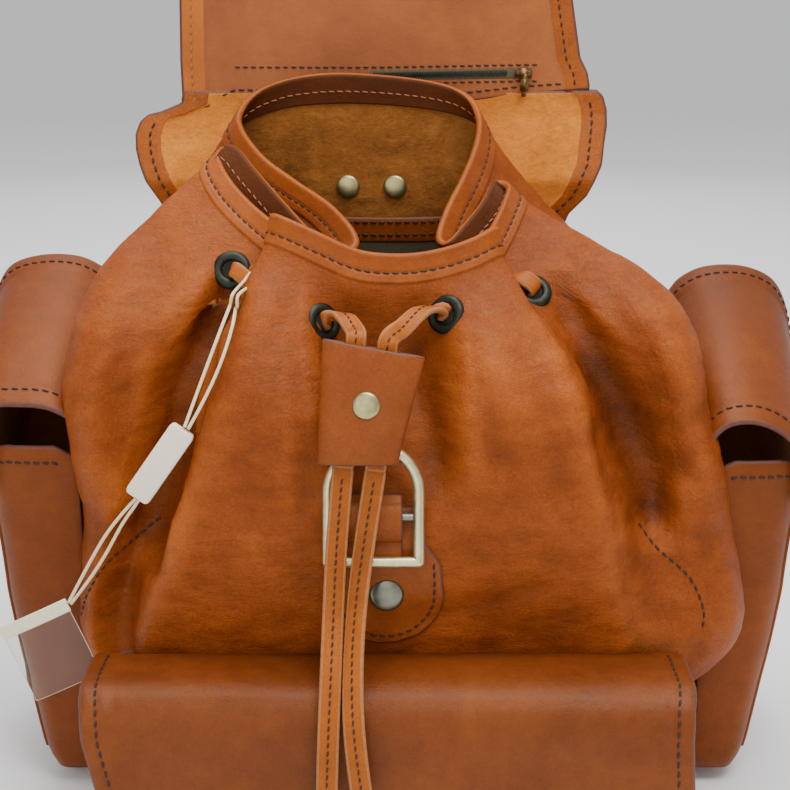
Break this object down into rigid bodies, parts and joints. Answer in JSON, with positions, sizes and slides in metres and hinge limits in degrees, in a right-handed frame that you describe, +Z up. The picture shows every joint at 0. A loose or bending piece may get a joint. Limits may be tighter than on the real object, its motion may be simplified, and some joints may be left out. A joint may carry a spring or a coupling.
{
  "type": "leather drawstring backpack",
  "caption": "Leather drawstring backpack with its lid thrown open, a front pocket with a flap, a pocket on each side, a cord slider, a D-shaped buckle and shoulder straps.",
  "frame": {"origin": "centre of the flat underside of the base", "axes": "+Z up, the front with the pocket and the buckle faces -Y, +X to the right as seen from the front"},
  "size_m": [0.42, 0.4056, 0.5407],
  "materials": {
    "body_leather": "soft pebbled cognac leather, semi-matt, suede on the inside",
    "pocket_leather": "smooth cognac leather, slightly redder",
    "lid_leather": "cognac leather, suede reverse",
    "lid_lining": "smooth mottled reddish-brown leather lining",
    "strap_leather": "firm cognac strap leather with burnished edges",
    "inner_fabric": "dark woven pocket cloth",
    "dark_metal": "darkened eyelets, satin",
    "antique_brass": "antique brass, worn satin",
    "pale_brass": "pale brushed antique brass",
    "gunmetal": "gunmetal rivet",
    "tag_string": "cream twisted cotton string",
    "tag_plastic": "cream plastic bead",
    "tag_card": "thin pale swing tag"
  },
  "bodies": {
    "root": {"adjusting_straps": "strap_leather", "back_panel": "body_leather", "base_panel": "body_leather", "base_tabs": "strap_leather", "buckle_tab": "strap_leather", "buckle_tab_rivet": "gunmetal", "drawstring_end_left": "strap_leather", "drawstring_end_right": "strap_leather", "drawstring_loop": "strap_leather", "eyelets": "dark_metal", "front_panel": "body_leather", "front_pocket_body": "pocket_leather", "front_pocket_snap": "antique_brass", "grab_handle": "strap_leather", "handle_rivets": "antique_brass", "hang_tag": "tag_card", "inner_pocket_panel": "inner_fabric", "inner_pocket_trim": "strap_leather", "lid_base_lining": "lid_lining", "lid_base_strip": "lid_leather", "mouth_hem": "body_leather", "shoulder_strap_left": "strap_leather", "shoulder_strap_right": "strap_leather", "side_panel_left": "body_leather", "side_panel_right": "body_leather", "side_pocket_left": "pocket_leather", "side_pocket_right": "pocket_leather", "strap_anchor": "strap_leather", "strap_buckles": "antique_brass", "strap_keepers": "strap_leather", "tag_bead": "tag_plastic", "tag_string_lower": "tag_string", "tag_string_upper": "tag_string", "zip_tape": "inner_fabric"},
    "lid": {"lid_panel": "lid_leather", "lid_lining": "lid_lining", "lid_binding": "lid_leather"},
    "lid_front": {"lid_front_panel": "lid_leather", "lid_front_lining": "lid_lining", "lid_front_binding": "lid_leather", "lid_strap": "strap_leather"},
    "front_flap": {"front_flap": "pocket_leather", "front_flap_snap": "antique_brass"},
    "side_flap_left": {"side_flap_left": "pocket_leather"},
    "side_flap_right": {"side_flap_right": "pocket_leather"},
    "buckle_frame": {"buckle_frame": "pale_brass", "buckle_crossbar": "dark_metal"},
    "cord_slider": {"slider_band": "strap_leather", "slider_rivet": "antique_brass"},
    "zip_slider": {"zip_slider": "antique_brass"},
    "zip_pull": {"zip_pull": "antique_brass"},
    "strap_prong_left": {"strap_prong_left": "antique_brass"},
    "strap_prong_right": {"strap_prong_right": "antique_brass"}
  },
  "joints": [
    {"name": "lid_hinge", "type": "hinge", "parent": "root", "child": "lid", "pos_m": [-0.01, 0.0966, 0.366], "axis": [1, 0, 0], "range_deg": [0, 92]},
    {"name": "lid_fold", "type": "hinge", "parent": "lid", "child": "lid_front", "pos_m": [-0.01, 0.12096, 0.5393], "axis": [1, 0, 0], "range_deg": [0, 180]},
    {"name": "front_flap_hinge", "type": "hinge", "parent": "root", "child": "front_flap", "pos_m": [-0.003, -0.113, 0.101], "axis": [-1, 0, 0], "range_deg": [0, 75], "deforming": ["drawstring_end_left", "drawstring_end_right"]},
    {"name": "side_flap_left_hinge", "type": "hinge", "parent": "root", "child": "side_flap_left", "pos_m": [-0.159, -0.003, 0.2285], "axis": [0, 0.9151, 0.4033], "range_deg": [0, 50]},
    {"name": "side_flap_right_hinge", "type": "hinge", "parent": "root", "child": "side_flap_right", "pos_m": [0.155, -0.003, 0.2285], "axis": [0, -0.9151, -0.4033], "range_deg": [0, 50]},
    {"name": "buckle_frame_hinge", "type": "hinge", "parent": "root", "child": "buckle_frame", "pos_m": [-0.01, -0.109, 0.175], "axis": [1, 0, 0], "range_deg": [0, 4]},
    {"name": "cord_slider_slide", "type": "slide", "parent": "root", "child": "cord_slider", "axis": [-0.102, -0.2137, -0.9715], "range_m": [0, 0.012]},
    {"name": "zip_slider_slide", "type": "slide", "parent": "root", "child": "zip_slider", "axis": [-1, 0, 0], "range_m": [0, 0.085]},
    {"name": "zip_pull_hinge", "type": "hinge", "parent": "zip_slider", "child": "zip_pull", "pos_m": [0.074, 0.0847, 0.3565], "axis": [-1, 0, 0], "range_deg": [0, 60]},
    {"name": "strap_prong_left_hinge", "type": "hinge", "parent": "root", "child": "strap_prong_left", "pos_m": [-0.068, 0.09468, 0.08717], "axis": [1, 0, 0], "range_deg": [0, 35]},
    {"name": "strap_prong_right_hinge", "type": "hinge", "parent": "root", "child": "strap_prong_right", "pos_m": [0.048, 0.09468, 0.08717], "axis": [1, 0, 0], "range_deg": [0, 35]}
  ]
}
